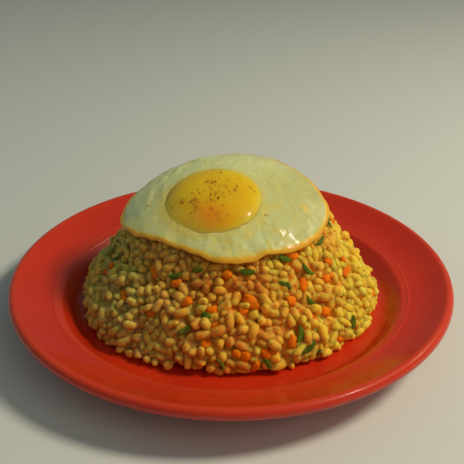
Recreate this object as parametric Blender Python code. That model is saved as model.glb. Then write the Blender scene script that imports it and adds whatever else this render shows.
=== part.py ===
# Nasi goreng: a pressed heap of fried rice on a glazed rim plate, with a fried egg laid over its top.
# Everything is in metres, +Z up. The origin is the middle of the plate's foot, on the table.

import math

import bpy

MM = 0.001
TURN = 2.0 * math.pi

# Plate, as a turned profile
PLATE_RADIUS = 110 * MM
PLATE_HEIGHT = 23 * MM
PLATE_SIDES = 96
LIP_THICKNESS = 5.4 * MM         # rounded bead at the outer edge
RIM_INNER_RADIUS = 85.5 * MM     # the shoulder where the rim turns down into the well
RIM_INNER_HEIGHT = 15.2 * MM
RIM_DIP = 1.1 * MM               # how far the rim sags between the lip and the shoulder
WELL_RADIUS = 75 * MM            # flat floor of the well
WELL_FLOOR = 6.6 * MM
FOOT_OUTER_RADIUS = 69 * MM
FOOT_INNER_RADIUS = 64.5 * MM
FOOT_RECESS = 2.2 * MM           # height of the underside inside the foot ring
FOOT_CHAMFER = 0.6 * MM
FOOT_FLARE = 1.6 * MM            # where the foot ring runs out into the underside
WALL = 4.3 * MM
SHOULDER_ROUND = 5 * MM
COVE_ROUND = 7 * MM
RIM_UNDER_BEND = 8 * MM          # the rim's underside bends this far outside the shoulder
RIM_STEPS = 3

# Heap of rice: rings stacked from the well's floor to the crown
HEAP_CENTRE = (-1.0 * MM, 1.5 * MM)
HEAP_DEPTH_SHARE = 0.925         # the heap is a little narrower front to back than side to side
HEAP_PROFILE = (                 # (radius, height) from the foot of the heap to its crown
    (72.5 * MM, 0.0 * MM),
    (75.0 * MM, 4.5 * MM),
    (71.5 * MM, 12.0 * MM),
    (62.0 * MM, 25.0 * MM),
    (53.5 * MM, 37.5 * MM),
    (48.5 * MM, 46.0 * MM),
    (42.5 * MM, 52.8 * MM),
    (31.0 * MM, 58.2 * MM),
    (16.0 * MM, 61.0 * MM),
    (0.0 * MM, 62.0 * MM),
)
HEAP_LEAN = (0.055, 0.19)        # the crown slopes down towards the left and the front
HEAP_LEAN_FROM = 20 * MM         # heights between which the lean grows from none to all
HEAP_LEAN_TO = 60 * MM
HEAP_LUMPS = ((5, 1.3, 4.0, 0.010), (9, 0.4, -6.0, 0.007), (14, 2.1, 9.0, 0.005))
SHOULDER_ANGLE = math.pi         # the rice stands out further under the egg's left tip
SHOULDER_SPREAD = 0.7
SHOULDER_LEVEL = 0.62
SHOULDER_LEVEL_SPREAD = 0.14
SHOULDER_SIZE = 0.07
PRESS_GAP = 0.8 * MM             # space left between the crown and the egg's flat facets
PRESS_FADE = 25 * MM             # rise of the egg's pressing limit per reach outside its outline
HEAP_SIDES = 60
HEAP_RINGS = 15

# Fried egg: the white is a stiff sheet that slopes with the heap's crown and droops at its margin
EGG_CENTRE = (-4.0 * MM, -4.0 * MM)
EGG_REACH = (                    # outline radius every 30 degrees, anticlockwise from +X
    51.3 * MM, 48.2 * MM, 43.6 * MM, 39.4 * MM, 41.1 * MM, 46.5 * MM,
    49.7 * MM, 39.9 * MM, 34.9 * MM, 38.0 * MM, 39.3 * MM, 46.5 * MM,
)
EGG_HEIGHT = 68.7 * MM           # top of the white over EGG_CENTRE
EGG_SLOPE = (0.065, 0.268)
EGG_HALF_SIZE = (50 * MM, 42 * MM)
EGG_DROOP = (9.2 * MM, 6.2 * MM)     # droop at the half sizes, by the square of the distance
EGG_EDGE_DROOP = 4.3 * MM            # and more by its fourth power
EGG_TWIST = 1.5 * MM
EGG_SIDES = 60
EGG_RINGS = 8
EGG_THICKNESS = 3.4 * MM
EGG_EDGE_THICKNESS = 1.5 * MM
EGG_EDGE_START = 0.72            # share of the reach where the white starts to thin
YOLK_CENTRE = (-8.4 * MM, -8.6 * MM)
YOLK_RADII = (22.8 * MM, 21.0 * MM)
YOLK_HEIGHT = 7.6 * MM
YOLK_EDGE = 0.6 * MM             # height of the yolk's own edge
YOLK_SIDES = 36
YOLK_RINGS = 7

GAP = 0.35 * MM                  # free space kept between pieces that touch

PLATE_RED = (0.55, 0.035, 0.012)
RICE_GOLD = (0.62, 0.33, 0.07)
EGG_WHITE = (0.86, 0.84, 0.66)
YOLK_YELLOW = (0.86, 0.50, 0.03)


def clear_scene():
    for item in list(bpy.data.objects):
        bpy.data.objects.remove(item, do_unlink=True)


def make_material(name, colour, roughness):
    material = bpy.data.materials.new(name)
    material.use_nodes = True
    shader = material.node_tree.nodes["Principled BSDF"]
    shader.inputs["Base Color"].default_value = (*colour, 1.0)
    shader.inputs["Roughness"].default_value = roughness
    shader.inputs["Metallic"].default_value = 0.0
    return material


def add_object(name, points, faces, material):
    mesh = bpy.data.meshes.new(name)
    mesh.from_pydata(points, [], faces)
    mesh.validate()
    mesh.materials.append(material)
    mesh.shade_smooth()
    piece = bpy.data.objects.new(name, mesh)
    bpy.context.collection.objects.link(piece)
    return piece


def closed_rings(rings, start, end):
    """Points and faces of a closed skin: a start pole, the rings in order, and an end pole."""
    sides = len(rings[0])
    points = [start]
    for ring in rings:
        points.extend(ring)
    points.append(end)
    last = len(points) - 1
    faces = []
    for side in range(sides):
        after = (side + 1) % sides
        faces.append((0, 1 + after, 1 + side))
        for level in range(len(rings) - 1):
            low = 1 + level * sides
            high = low + sides
            faces.append((low + side, low + after, high + after, high + side))
        top = 1 + (len(rings) - 1) * sides
        faces.append((top + side, top + after, last))
    return points, faces


def ease(low, high, value):
    share = min(max((value - low) / (high - low), 0.0), 1.0)
    return share * share * (3.0 - 2.0 * share)


def catmull_rom(a, b, c, d, t):
    """The value a share t of the way from b to c, smooth through a, b, c and d."""
    straight = 2 * b + (c - a) * t
    return 0.5 * (straight + (2 * a - 5 * b + 4 * c - d) * t ** 2 + (3 * b - a - 3 * c + d) * t ** 3)


def smooth_curve(points, share):
    """A point on the Catmull-Rom curve through the given points, for a share from 0 to 1."""
    spans = len(points) - 1
    place = min(max(share, 0.0), 1.0) * spans
    index = min(int(place), spans - 1)
    t = place - index
    p1 = points[index]
    p2 = points[index + 1]
    p0 = points[index - 1] if index > 0 else tuple(2 * a - b for a, b in zip(p1, p2))
    p3 = points[index + 2] if index + 2 <= spans else tuple(2 * a - b for a, b in zip(p2, p1))
    return tuple(catmull_rom(a, b, c, d, t) for a, b, c, d in zip(p0, p1, p2, p3))


# Plate

def arc(centre, radius, start_deg, end_deg, steps):
    """(radius, height) points on an arc of the profile."""
    points = []
    for step in range(steps + 1):
        angle = math.radians(start_deg + (end_deg - start_deg) * step / steps)
        points.append((centre[0] + radius * math.cos(angle), centre[1] + radius * math.sin(angle)))
    return points


def plate_profile():
    """The plate's section from under its middle, out round the lip and back over the well."""
    under = [
        (FOOT_INNER_RADIUS - FOOT_RECESS, FOOT_RECESS),
        (FOOT_INNER_RADIUS - FOOT_CHAMFER, FOOT_CHAMFER),
        (FOOT_INNER_RADIUS, 0.0),
        (FOOT_OUTER_RADIUS, 0.0),
        (FOOT_OUTER_RADIUS + FOOT_FLARE, FOOT_FLARE),
        (WELL_RADIUS + COVE_ROUND / 2, WELL_FLOOR - FOOT_RECESS),
        (RIM_INNER_RADIUS + FOOT_FLARE, RIM_INNER_HEIGHT - WALL - FOOT_CHAMFER),
        (RIM_INNER_RADIUS + RIM_UNDER_BEND, RIM_INNER_HEIGHT - WALL + RIM_DIP),
    ]
    lip_radius = LIP_THICKNESS / 2
    lip = arc((PLATE_RADIUS - lip_radius, PLATE_HEIGHT - lip_radius), lip_radius, -100, 125, 8)
    rim = []
    rim_start = lip[-1]
    rim_end = (RIM_INNER_RADIUS + SHOULDER_ROUND / 2, RIM_INNER_HEIGHT)
    for step in range(1, RIM_STEPS + 1):
        share = step / RIM_STEPS
        radius = rim_start[0] + (rim_end[0] - rim_start[0]) * share
        height = rim_start[1] + (rim_end[1] - rim_start[1]) * share
        rim.append((radius, height - RIM_DIP * math.sin(math.pi * share)))
    shoulder = arc((rim_end[0], RIM_INNER_HEIGHT - SHOULDER_ROUND), SHOULDER_ROUND, 105, 145, 2)
    cove = arc((WELL_RADIUS, WELL_FLOOR + COVE_ROUND), COVE_ROUND, -45, -90, 3)
    return under + lip + rim + shoulder + cove


def build_plate():
    rings = []
    for radius, height in plate_profile():
        ring = []
        for side in range(PLATE_SIDES):
            angle = TURN * side / PLATE_SIDES
            ring.append((radius * math.cos(angle), radius * math.sin(angle), height))
        rings.append(ring)
    points, faces = closed_rings(rings, (0.0, 0.0, FOOT_RECESS), (0.0, 0.0, WELL_FLOOR))
    return add_object("plate", points, faces, make_material("plate_glaze", PLATE_RED, 0.2))


# Fried egg

def egg_reach(angle):
    """Outline radius of the white, smooth all the way round."""
    count = len(EGG_REACH)
    place = (angle % TURN) / TURN * count
    index = int(place)
    t = place - index
    a, b, c, d = (EGG_REACH[(index + step) % count] for step in (-1, 0, 1, 2))
    return catmull_rom(a, b, c, d, t)


def egg_share(x, y):
    """How far out a place is: 0 at the white's centre, 1 at its outline."""
    dx = x - EGG_CENTRE[0]
    dy = y - EGG_CENTRE[1]
    return math.hypot(dx, dy) / egg_reach(math.atan2(dy, dx))


def egg_top(x, y):
    dx = x - EGG_CENTRE[0]
    dy = y - EGG_CENTRE[1]
    u = dx / EGG_HALF_SIZE[0]
    v = dy / EGG_HALF_SIZE[1]
    slope = EGG_SLOPE[0] * dx + EGG_SLOPE[1] * dy
    droop = EGG_DROOP[0] * u * u + EGG_DROOP[1] * v * v + EGG_EDGE_DROOP * (u * u + v * v) ** 2
    return EGG_HEIGHT + slope - droop + EGG_TWIST * u * v


def egg_under(x, y):
    thin = ease(EGG_EDGE_START, 1.0, egg_share(x, y))
    return egg_top(x, y) - EGG_THICKNESS + (EGG_THICKNESS - EGG_EDGE_THICKNESS) * thin


def build_egg_white():
    lower = []
    upper = []
    for index in range(1, EGG_RINGS + 1):
        share = (index / EGG_RINGS) ** 0.8
        low_ring = []
        high_ring = []
        for side in range(EGG_SIDES):
            angle = TURN * side / EGG_SIDES
            reach = egg_reach(angle) * share
            x = EGG_CENTRE[0] + reach * math.cos(angle)
            y = EGG_CENTRE[1] + reach * math.sin(angle)
            low_ring.append((x, y, egg_under(x, y)))
            high_ring.append((x, y, egg_top(x, y)))
        lower.append(low_ring)
        upper.append(high_ring)
    x, y = EGG_CENTRE
    points, faces = closed_rings(lower + upper[::-1], (x, y, egg_under(x, y)), (x, y, egg_top(x, y)))
    return add_object("egg_white", points, faces, make_material("egg_white", EGG_WHITE, 0.35))


def build_yolk():
    """A low dome that sits on the white and follows its slope."""
    lower = []
    upper = []
    for index in range(1, YOLK_RINGS + 1):
        share = math.sin(math.pi / 2 * index / YOLK_RINGS)
        dome = YOLK_HEIGHT * math.sqrt(max(1.0 - share * share, 0.0))
        low_ring = []
        high_ring = []
        for side in range(YOLK_SIDES):
            angle = TURN * side / YOLK_SIDES
            x = YOLK_CENTRE[0] + YOLK_RADII[0] * share * math.cos(angle)
            y = YOLK_CENTRE[1] + YOLK_RADII[1] * share * math.sin(angle)
            base = egg_top(x, y) + GAP
            low_ring.append((x, y, base))
            high_ring.append((x, y, base + max(dome, YOLK_EDGE)))
        lower.append(low_ring)
        upper.append(high_ring)
    x, y = YOLK_CENTRE
    base = egg_top(x, y) + GAP
    points, faces = closed_rings(lower + upper[::-1], (x, y, base), (x, y, base + YOLK_HEIGHT))
    return add_object("egg_yolk", points, faces, make_material("egg_yolk", YOLK_YELLOW, 0.3))


# Heap of rice

def bell(offset, width):
    return math.exp(-(offset / width) ** 2)


def heap_point(level, angle):
    """A point of the heap's skin, for a level from 0 at its foot to 1 at its crown."""
    radius, rise = smooth_curve(HEAP_PROFILE, level)
    for count, phase, twist, size in HEAP_LUMPS:
        radius *= 1.0 + size * math.sin(count * angle + phase + twist * level)
    around = bell(angle - SHOULDER_ANGLE, SHOULDER_SPREAD)
    radius *= 1.0 + SHOULDER_SIZE * around * bell(level - SHOULDER_LEVEL, SHOULDER_LEVEL_SPREAD)
    x = radius * math.cos(angle)
    y = radius * math.sin(angle) * HEAP_DEPTH_SHARE
    height = WELL_FLOOR + GAP + rise
    lean = ease(HEAP_LEAN_FROM, HEAP_LEAN_TO, height)
    height += (HEAP_LEAN[0] * x + HEAP_LEAN[1] * y) * lean
    x += HEAP_CENTRE[0]
    y += HEAP_CENTRE[1]
    # the crown is pressed flat under the egg
    past = max(egg_share(x, y) - 1.0, 0.0)
    return x, y, min(height, egg_under(x, y) - PRESS_GAP + past * PRESS_FADE)


def build_heap():
    rings = []
    for index in range(HEAP_RINGS):
        level = index / HEAP_RINGS
        rings.append([heap_point(level, TURN * side / HEAP_SIDES) for side in range(HEAP_SIDES)])
    under = (HEAP_CENTRE[0], HEAP_CENTRE[1], WELL_FLOOR + GAP)
    points, faces = closed_rings(rings, under, heap_point(1.0, 0.0))
    return add_object("rice_heap", points, faces, make_material("fried_rice", RICE_GOLD, 0.6))


clear_scene()
build_plate()
build_heap()
build_egg_white()
build_yolk()
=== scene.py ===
import math
import random

import bpy
import numpy as np
from mathutils import Matrix, Vector, noise
from mathutils.bvhtree import BVHTree
from mathutils.kdtree import KDTree


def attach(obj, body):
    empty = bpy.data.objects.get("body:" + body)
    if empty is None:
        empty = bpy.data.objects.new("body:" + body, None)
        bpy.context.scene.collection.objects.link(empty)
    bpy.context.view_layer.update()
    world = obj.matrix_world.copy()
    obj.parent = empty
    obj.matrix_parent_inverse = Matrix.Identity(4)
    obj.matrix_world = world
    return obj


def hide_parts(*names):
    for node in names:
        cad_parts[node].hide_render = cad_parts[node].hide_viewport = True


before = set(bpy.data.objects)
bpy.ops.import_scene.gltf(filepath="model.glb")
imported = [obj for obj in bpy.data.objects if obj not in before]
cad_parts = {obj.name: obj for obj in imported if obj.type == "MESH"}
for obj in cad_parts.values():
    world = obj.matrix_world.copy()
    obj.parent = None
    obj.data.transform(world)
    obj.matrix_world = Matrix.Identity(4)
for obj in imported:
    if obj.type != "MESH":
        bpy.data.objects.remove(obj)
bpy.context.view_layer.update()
scene = bpy.context.scene

mm = 0.001              # shapes are worked out in millimetres and made in metres
fullTurn = 2 * math.pi


# small helpers

def ease(low, high, value):
    share = np.clip((value - low) / (high - low), 0, 1)
    return share * share * (3 - 2 * share)


def bell(offset, width):
    return np.exp(-(offset / width) ** 2)


def around(sides):
    return np.arange(sides) * fullTurn / sides


def turnFrom(direction, angle):
    # signed turn from a direction to an angle, at most half a turn either way
    return np.mod(angle - direction + math.pi, fullTurn) - math.pi


def feed(tree, socket, value):
    if isinstance(value, bpy.types.NodeSocket):
        tree.links.new(value, socket)
    else:
        socket.default_value = value


def addNode(tree, kind, inputs=None, **settings):
    node = tree.nodes.new(kind)
    for name, value in settings.items():
        setattr(node, name, value)
    for name, value in (inputs or {}).items():
        feed(tree, node.inputs[name], value)
    return node


def addMath(tree, operation, *values):
    return addNode(tree, "ShaderNodeMath", dict(enumerate(values)), operation=operation).outputs[0]


def addVector(tree, operation, inputs):
    return addNode(tree, "ShaderNodeVectorMath", inputs, operation=operation).outputs[0]


def multiply(tree, result, *values):
    for value in values:
        result = addMath(tree, "MULTIPLY", result, value)
    return result


def add(tree, result, *values):
    for value in values:
        result = addMath(tree, "ADD", result, value)
    return result


def startMaterial(name, **sockets):
    # a Principled material, with the values that are the same all over set on its own sockets
    material = bpy.data.materials.new(name)
    material.use_nodes = True
    shader = material.node_tree.nodes["Principled BSDF"]
    for socket, value in sockets.items():
        shader.inputs[socket.replace("_", " ")].default_value = value
    return material, material.node_tree, shader


def addNoise(tree, place, scale, detail=3.0, roughness=0.55):
    return addNode(tree, "ShaderNodeTexNoise", {
        "Vector": place, "Scale": scale, "Detail": detail, "Roughness": roughness}).outputs["Fac"]


def addRange(tree, value, low, high, toLow=0.0, toHigh=1.0):
    node = addNode(tree, "ShaderNodeMapRange", {
        "Value": value, "From Min": low, "From Max": high, "To Min": toLow, "To Max": toHigh})
    return node.outputs["Result"]


def addRamp(tree, value, stops):
    node = addNode(tree, "ShaderNodeValToRGB", {"Fac": value})
    elements = node.color_ramp.elements
    while len(elements) < len(stops):
        elements.new(0.5)
    for element, (place, colour) in zip(elements, stops):
        element.position = place
        element.color = (*colour, 1)
    return node.outputs["Color"]


def addMix(tree, amount, first, second):
    # sockets 6 and 7 of a Mix node take its two colours
    node = addNode(tree, "ShaderNodeMix", {0: amount}, data_type="RGBA")
    for index, value in ((6, first), (7, second)):
        feed(tree, node.inputs[index], value if isinstance(value, bpy.types.NodeSocket) else (*value, 1))
    return node.outputs[2]


def addPatches(tree, place, scale, edges, first, second, detail=3.0):
    # the second colour lies over the first in soft patches
    return addMix(tree, addRange(tree, addNoise(tree, place, scale, detail), *edges), first, second)


def paint(tree, shader, colour):
    tree.links.new(colour, shader.inputs["Base Color"])


def addSheen(tree, shader, place, scale, low, high, detail=3.0):
    # roughness that wanders between two values
    gloss = addRange(tree, addNoise(tree, place, scale, detail), 0.3, 0.7, low, high)
    tree.links.new(gloss, shader.inputs["Roughness"])


def addBump(tree, shader, height, distance, strength=1.0):
    node = addNode(tree, "ShaderNodeBump", {"Height": height, "Distance": distance, "Strength": strength})
    tree.links.new(node.outputs["Normal"], shader.inputs["Normal"])


def readAttribute(tree, name):
    return addNode(tree, "ShaderNodeAttribute", attribute_name=name).outputs["Fac"]


def objectPlace(tree):
    return tree.nodes.new("ShaderNodeTexCoord").outputs["Object"]


def makeMesh(name, points, faces, material):
    mesh = bpy.data.meshes.new(name)
    mesh.from_pydata((np.asarray(points, float) * mm).tolist(), [], faces)
    mesh.materials.append(material)
    mesh.shade_smooth()
    return mesh


def addAttribute(mesh, name, values, kind="FLOAT"):
    attribute = mesh.attributes.new(name, kind, "POINT")
    field = "vector" if kind == "FLOAT_VECTOR" else "value"
    numbers = np.asarray(values).ravel().astype(np.int32 if kind == "INT" else np.float32)
    attribute.data.foreach_set(field, numbers)


def addPiece(mesh, slot, *nodes):
    # puts a finished mesh on the plate's body, in place of the named solids
    piece = bpy.data.objects.new(mesh.name, mesh)
    scene.collection.objects.link(piece)
    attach(piece, "root")
    if nodes:
        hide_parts(*nodes)
    return piece


def countTriangles(mesh):
    return sum(len(face.vertices) - 2 for face in mesh.polygons)


def ringFaces(rings, sides, first=0):
    # quads between rings of equal size, facing out when the rings run up the outside
    faces = []
    for ring in range(rings - 1):
        low = first + ring * sides
        for side in range(sides):
            after = (side + 1) % sides
            faces.append((low + side, low + after, low + sides + after, low + sides + side))
    return faces


def closedRings(rings, start, end):
    # the skin of a closed body: start pole, rings, end pole
    count, sides = rings.shape[0], rings.shape[1]
    points = np.vstack([[start], rings.reshape(-1, 3), [end]])
    last = len(points) - 1
    top = 1 + (count - 1) * sides
    faces = [(0, 1 + (side + 1) % sides, 1 + side) for side in range(sides)]
    faces += ringFaces(count, sides, 1)
    faces += [(top + side, top + (side + 1) % sides, last) for side in range(sides)]
    return points, faces


def nodeSkin(name):
    # a solid of the frame as a tree for distances, in millimetres
    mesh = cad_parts[name].data
    points = [vertex.co / mm for vertex in mesh.vertices]
    return BVHTree.FromPolygons(points, [tuple(face.vertices) for face in mesh.polygons])


# the plate: red glaze on a turned stoneware body

plate = {
    "radius": 110.0, "height": 23.0, "sides": 200,
    "lip": 2.7,                                # radius of the bead at the edge
    "rimInner": 88.0, "rimHeight": 15.2, "rimDip": 1.1, "ridge": 0.3,
    "shoulder": 5.0, "well": 75.0, "wellFloor": 6.6, "cove": 7.0,
    "footOuter": 69.0, "footInner": 64.5, "recess": 2.2, "footRound": 0.6,
    # radius and height of the underside, from the foot out to the lip
    "underside": ((70.2, 1.5), (71.4, 2.3), (74.6, 3.3), (78.5, 4.7), (82.9, 7.4), (87.1, 10.0), (90.2, 11.2),
                  (93.5, 12.0), (97.6, 14.0), (101.8, 16.1)),
    # shares of the rim's width from the lip in, closer near the ridge
    "rimSteps": (0.1, 0.2, 0.3, 0.4, 0.5, 0.6, 0.7, 0.8, 0.87, 0.9, 0.92, 0.94, 0.96, 0.98, 1.0),
    "red": (0.56, 0.026, 0.005), "deepRed": (0.49, 0.019, 0.004), "thinRed": (0.62, 0.050, 0.012),
    "speck": (0.30, 0.012, 0.005), "clay": (0.62, 0.50, 0.38),
    "roughness": (0.33, 0.43), "clayRoughness": 0.8,
}


def arc(centre, radius, start, end, steps):
    angles = np.radians(np.linspace(start, end, steps + 1))
    return list(zip(centre[0] + radius * np.cos(angles), centre[1] + radius * np.sin(angles)))


def plateSection(p):
    # (radius, height) from under the middle, out round the lip and back over the well
    under = [(radius, p["recess"]) for radius in (20, 45, 60)]
    under += arc((p["footInner"] - 2.6, p["recess"] - 1.0), 1.0, 90, 0, 5)
    under += arc((p["footInner"], p["footRound"]), p["footRound"], 180, 270, 4)
    under += arc((p["footOuter"] - 0.4, p["footRound"]), p["footRound"], 270, 350, 4)
    under += p["underside"]
    lip = arc((p["radius"] - p["lip"], p["height"] - p["lip"]), p["lip"], -100, 125, 22)
    start, end = lip[-1], (p["rimInner"], p["rimHeight"])
    rim = []
    for share in p["rimSteps"]:
        radius = start[0] + (end[0] - start[0]) * share
        dip = p["rimDip"] * math.sin(math.pi * share)
        ridge = p["ridge"] * float(bell(radius - end[0] - 0.7, 0.55))
        rim.append((radius, start[1] + (end[1] - start[1]) * share - dip + ridge))
    shoulder = arc((end[0], end[1] - p["shoulder"]), p["shoulder"], 100, 140, 6)
    cove = arc((p["well"], p["wellFloor"] + p["cove"]), p["cove"], -45, -90, 7)
    floor = [(radius, p["wellFloor"]) for radius in (68, 60, 48, 32, 16)]
    return under + lip + rim + shoulder + cove + floor


def glazeMaterial(p):
    material, tree, shader = startMaterial("redGlaze", IOR=1.42, Coat_Weight=0.3, Coat_Roughness=0.12)
    place = objectPlace(tree)
    colour = addPatches(tree, place, 22, (0.3, 0.7), p["deepRed"], p["red"], 4)
    # the bead and the shoulder are a lighter, more orange red
    colour = addMix(tree, readAttribute(tree, "thinGlaze"), colour, p["thinRed"])
    colour = addPatches(tree, place, 900, (0.72, 0.78, 0, 0.35), colour, p["speck"], 1)
    bare = readAttribute(tree, "bareClay")
    paint(tree, shader, addMix(tree, bare, colour, p["clay"]))
    gloss = addRange(tree, addNoise(tree, place, 140, 5, 0.7), 0.35, 0.75, *p["roughness"])
    matt = addMath(tree, "MAXIMUM", gloss, multiply(tree, bare, p["clayRoughness"]))
    tree.links.new(matt, shader.inputs["Roughness"])
    wide = multiply(tree, addNoise(tree, place, 55, 2), 0.8)
    fine = multiply(tree, addNoise(tree, place, 420, 2), 0.12)
    addBump(tree, shader, add(tree, wide, fine), 0.0006, 0.35)
    return material


def buildPlate(p):
    section = np.array(plateSection(p))
    angles = around(p["sides"])
    rings = np.stack([np.outer(section[:, 0], np.cos(angles)), np.outer(section[:, 0], np.sin(angles)),
                      np.repeat(section[:, 1:], p["sides"], axis=1)], axis=2)
    points, faces = closedRings(rings, (0, 0, p["recess"]), (0, 0, p["wellFloor"]))
    mesh = makeMesh("glazedPlate", points, faces, glazeMaterial(p))
    radius, height = np.hypot(points[:, 0], points[:, 1]), points[:, 2]
    overBead = 0.55 * bell(radius - (p["radius"] - 2.2), 1.6) * (height > 20)
    overShoulder = 0.4 * bell(radius - (p["rimInner"] - 0.6), 1.5) * (height > 14)
    addAttribute(mesh, "thinGlaze", overBead + overShoulder)
    addAttribute(mesh, "bareClay", (height < 0.35) * 1.0)       # the foot stands on bare clay
    addPiece(mesh, "plate_glaze", "plate")
    print("plate:", len(faces), "faces")


buildPlate(plate)


# the fried egg's shape: a stiff sheet that slopes with the crown of rice and droops at its margin

eggShape = {
    "centre": (-4.0, -4.0),
    # outline radius every 30 degrees, from the right round by the back
    "reach": (51.0, 46.4, 41.6, 39.0, 41.1, 46.5, 49.7, 39.9, 34.9, 38.0, 39.3, 46.5),
    "height": 68.7, "slope": (0.065, 0.268), "halfSize": (50.0, 42.0),
    "droop": (9.2, 6.2), "edgeDroop": 4.3, "twist": 1.5,
    "thickness": 3.4, "edgeThickness": 1.4, "thinFrom": 0.72,
}

yolkShape = {
    "centre": (-8.4, -9.1), "radii": (22.8, 20.8), "meanRadius": 21, "height": 4.4,
    "fullness": 2.8, "softness": 0.58, "filmSoftness": 0.75,
    "slump": 0.04, "slumpSide": -0.7,          # slumped a little toward the front right
    "filmSide": -math.radians(148), "filmWidth": 0.85,         # where set white has drawn over its edge
    "sides": 120, "rings": 40,
}


def eggReach(angle):
    # outline radius, smooth all the way round
    reach = np.array(eggShape["reach"])
    place = np.mod(angle, fullTurn) / fullTurn * len(reach)
    index = np.floor(place).astype(int)
    t = place - index
    a, b, c, d = (reach[(index + step) % len(reach)] for step in (-1, 0, 1, 2))
    return 0.5 * (2 * b + (c - a) * t + (2 * a - 5 * b + 4 * c - d) * t ** 2
                  + (3 * b - a - 3 * c + d) * t ** 3)


def eggShare(x, y):
    # 0 at the egg's centre, 1 on its outline
    dx, dy = x - eggShape["centre"][0], y - eggShape["centre"][1]
    return np.hypot(dx, dy) / eggReach(np.arctan2(dy, dx))


def eggTop(x, y):
    e = eggShape
    dx, dy = x - e["centre"][0], y - e["centre"][1]
    u, v = dx / e["halfSize"][0], dy / e["halfSize"][1]
    droop = e["droop"][0] * u * u + e["droop"][1] * v * v + e["edgeDroop"] * (u * u + v * v) ** 2
    return e["height"] + e["slope"][0] * dx + e["slope"][1] * dy - droop + e["twist"] * u * v


def eggThickness(share):
    e = eggShape
    return e["thickness"] - (e["thickness"] - e["edgeThickness"]) * ease(e["thinFrom"], 1.0, share)


def eggUnder(x, y):
    return eggTop(x, y) - eggThickness(eggShare(x, y))


def yolkBulge(angle):
    return 1 + yolkShape["slump"] * np.cos(2 * (angle - yolkShape["slumpSide"]))


def yolkShare(x, y):
    # 0 at the yolk's centre, 1 on its outline
    p = yolkShape
    dx, dy = (x - p["centre"][0]) / p["radii"][0], (y - p["centre"][1]) / p["radii"][1]
    return np.hypot(dx, dy) / yolkBulge(np.arctan2(dy, dx))


def pastYolk(x, y):
    # millimetres outside the yolk's edge
    return np.maximum(yolkShare(x, y) - 1, 0) * yolkShape["meanRadius"]


def filmShare(x, y):
    # how much set white has drawn over the yolk on this side of it
    p = yolkShape
    return bell(turnFrom(p["filmSide"], np.arctan2(y - p["centre"][1], x - p["centre"][0])), p["filmWidth"])


# rice: every grain is a short rod of three balls, and the rods push each other apart inside the heap's skin

heapShape = {"centre": (-1.0, 1.5), "depthShare": 0.925, "wellFloor": 6.6, "wellRadius": 73.5}

riceShape = {
    "seed": 7, "grains": 2080, "footGrains": 96,
    "length": (5.4, 8.4), "width": (3.4, 4.8), "brokenShare": 0.16, "brokenLength": 0.68,
    "press": 0.83,                      # share of a grain's size that pushes its neighbours
    "proudShare": 0.2, "proud": (0.8, 1.9), "level": (-0.7, 0.4),      # how far grains stand out of the skin
    "lumps": 1.7, "lumpSize": 12,       # clumps of grains stand out or lie back by up to this
    "lowHeight": 17, "lowProud": 0.6,   # the heap's foot is smoother
    # the egg presses down the grains within this share of its outline, less at the front
    "underEgg": 1.22, "pressedFront": -0.5, "pressedBack": -1.3, "frontFrom": -10,
    "shell": 7.4,                       # depth of the layer of whole grains over the core
    "topDepth": 0.6, "innerDepth": 2.0,        # where a grain starts under the skin
    "footOut": (67.6, 70.8), "footWiden": 3.0, "footHeight": 2.2, "footTilt": 0.12, "footProud": 1.6,
}

bitsPlacing = {
    "placedHold": 0.8, "looseHold": 1.6,       # how deep the bits may be pushed under the skin
    "looseDepth": 1.2, "looseSunk": 0.4,       # the ones at random start deeper and stand out less
}

carrotShape = {
    "random": 40, "length": (3.2, 6.4), "width": (2.8, 4.2), "slim": 0.86, "proud": 0.2, "forms": 3,
    # angle round the heap, height, length, width, lean of the long side
    "placed": (
        (-52, 38, 6.2, 4.6, 10), (-54, 50, 7.4, 4.6, 5), (-27, 41, 4.4, 3.4, 60), (-78, 36, 10.5, 5.4, -40),
        (-110, 34, 5.2, 3.8, 20), (-164, 33, 4.2, 3.4, 0), (-19, 38, 3.6, 3.0, 80), (-37, 36, 5.4, 4.2, 0),
        (-46, 26, 5.6, 4.2, -20), (-66, 20, 6.6, 3.8, 35), (-100, 21, 6.4, 4.6, 0), (-124, 28, 4.6, 3.4, 30),
        (-24, 34, 3.8, 3.0, 0), (-77, 16, 6.0, 4.2, 60), (-62, 34, 5.0, 4.0, 0), (-95, 28, 4.6, 3.6, -30),
        (-45, 11, 4.6, 3.6, 10), (-118, 40, 5.0, 3.8, 15)),
}

greenShape = {
    "random": 26, "length": (4.4, 7.0), "width": (1.7, 2.5), "slim": 0.45, "proud": 0.5, "forms": 2,
    # angle round the heap, height, length, width, lean, form: 0 crescent, 1 oval slice
    "placed": (
        (-46, 42, 8.0, 2.5, -60, 0), (-80, 46, 7.2, 2.8, 0, 1), (-52, 31, 6.0, 2.2, -62, 0),
        (-38, 28, 7.4, 2.0, -78, 0), (-36, 16, 6.6, 2.9, 68, 1), (-63, 22, 7.8, 2.8, 48, 0),
        (-60, 17, 8.6, 3.6, 30, 1), (-57, 12, 4.4, 3.4, 0, 1), (-107, 25, 6.4, 2.8, 45, 1),
        (-99, 31, 4.6, 3.6, 0, 1), (-119, 42, 6.0, 2.4, 25, 0), (-107, 46, 5.0, 2.2, 10, 1),
        (-173, 36, 7.6, 2.6, 85, 0), (-57, 49, 6.4, 2.6, -20, 1)),
}

settling = {
    "steps": 170,
    "ballSizes": (0.94, 1.0, 0.94), "ballSpacing": 0.47,       # shares of a rod's width
    "searchReach": 5.4, "searchEvery": 4, "skinEvery": 8,
    "push": 0.36, "longestMove": 0.8,
    "skinPull": 0.6, "shellPull": 0.5, "shellOverlap": 0.8,
    "eggGap": 0.3, "eggEnd": 1.07, "eggEndRise": 60,           # past its outline the egg holds nothing down
}


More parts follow.
